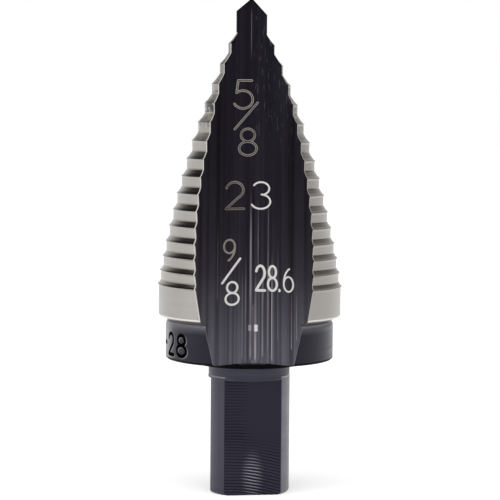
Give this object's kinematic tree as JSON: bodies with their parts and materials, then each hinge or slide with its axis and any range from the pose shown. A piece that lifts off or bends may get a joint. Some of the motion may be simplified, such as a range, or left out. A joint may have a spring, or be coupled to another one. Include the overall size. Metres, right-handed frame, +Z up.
{
  "type": "step drill",
  "caption": "Single-flute stepped conical drill with a stepped nose, a plain collar and a three-flat shank for a drill chuck.",
  "frame": {"origin": "middle of the shank's flat end face, on the drill's axis, where it stands", "axes": "+Z up the drill's axis from the shank end to the point; the flute opens towards -Y, with the cutting lip on its -X edge"},
  "size_m": [0.0286, 0.0263, 0.0762],
  "materials": {
    "tool_steel": "black oxide on the flute, collar and shank, bright ground lands and shoulders"
  },
  "bodies": {
    "root": {"step_drill": "tool_steel"}
  },
  "joints": []
}
